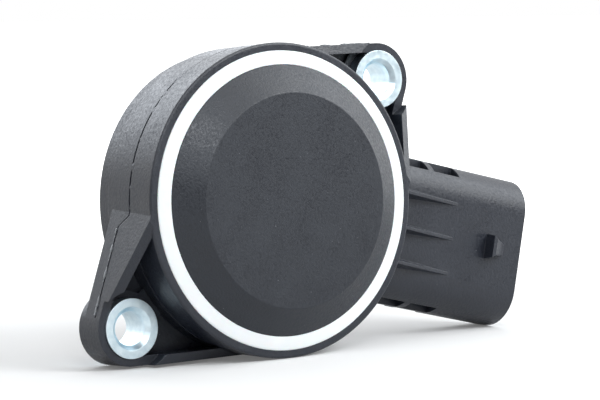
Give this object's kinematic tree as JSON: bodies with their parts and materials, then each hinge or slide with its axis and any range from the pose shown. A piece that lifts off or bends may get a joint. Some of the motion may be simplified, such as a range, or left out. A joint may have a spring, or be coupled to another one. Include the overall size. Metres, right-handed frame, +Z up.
{
  "type": "intake manifold flap sensor",
  "caption": "Round black flap position sensor with a white-ringed cover, screw ears with steel bushings, a side plug connector and a rear rotor slot.",
  "frame": {"origin": "on the sensor axis, in the plane of the mounting face at the back of the two screw lugs", "axes": "+Y along the sensor axis, out of the back towards the flap shaft; the cover faces -Y; +Z up as the sensor stands on a table, with the connector towards +X"},
  "size_m": [0.0837, 0.0207, 0.05],
  "materials": {
    "housing_plastic": "black glass-filled moulding, fine grain, soft sheen",
    "cover_plastic": "black moulding, even matt grain",
    "sealant": "white cured sealant, satin",
    "zinc_steel": "bright zinc plating, faint turning marks",
    "terminal_metal": "tin-plated brass, stamped",
    "board": "green solder resist",
    "chip_black": "black epoxy",
    "ceramic": "tan ceramic",
    "resistor_film": "dark film, glazed",
    "solder": "bright solder",
    "rotor_plastic": "natural acetal, satin",
    "loop_copper": "stamped copper alloy",
    "plate_plastic": "black moulding",
    "spring_steel": "spring steel",
    "seal_rubber": "red-brown silicone rubber"
  },
  "bodies": {
    "body": {"housing": "housing_plastic", "front_cover": "cover_plastic", "sealant_ring": "sealant", "upper_bushing": "zinc_steel", "lower_bushing": "zinc_steel", "terminal_1": "terminal_metal", "terminal_2": "terminal_metal", "terminal_3": "terminal_metal", "circuit_board": "board", "sensor_chip": "chip_black", "capacitors": "ceramic", "resistors": "resistor_film", "solder_joints": "solder", "bearing_plate": "plate_plastic", "spring_washer": "spring_steel", "rear_seal": "seal_rubber"},
    "rotor": {"rotor": "rotor_plastic", "rotor_loop": "loop_copper"}
  },
  "joints": [
    {"name": "rotor_turn", "type": "hinge", "parent": "body", "child": "rotor", "pos_m": [0, 0, 0], "axis": [0, 1, 0], "range_deg": [0, 95]}
  ]
}
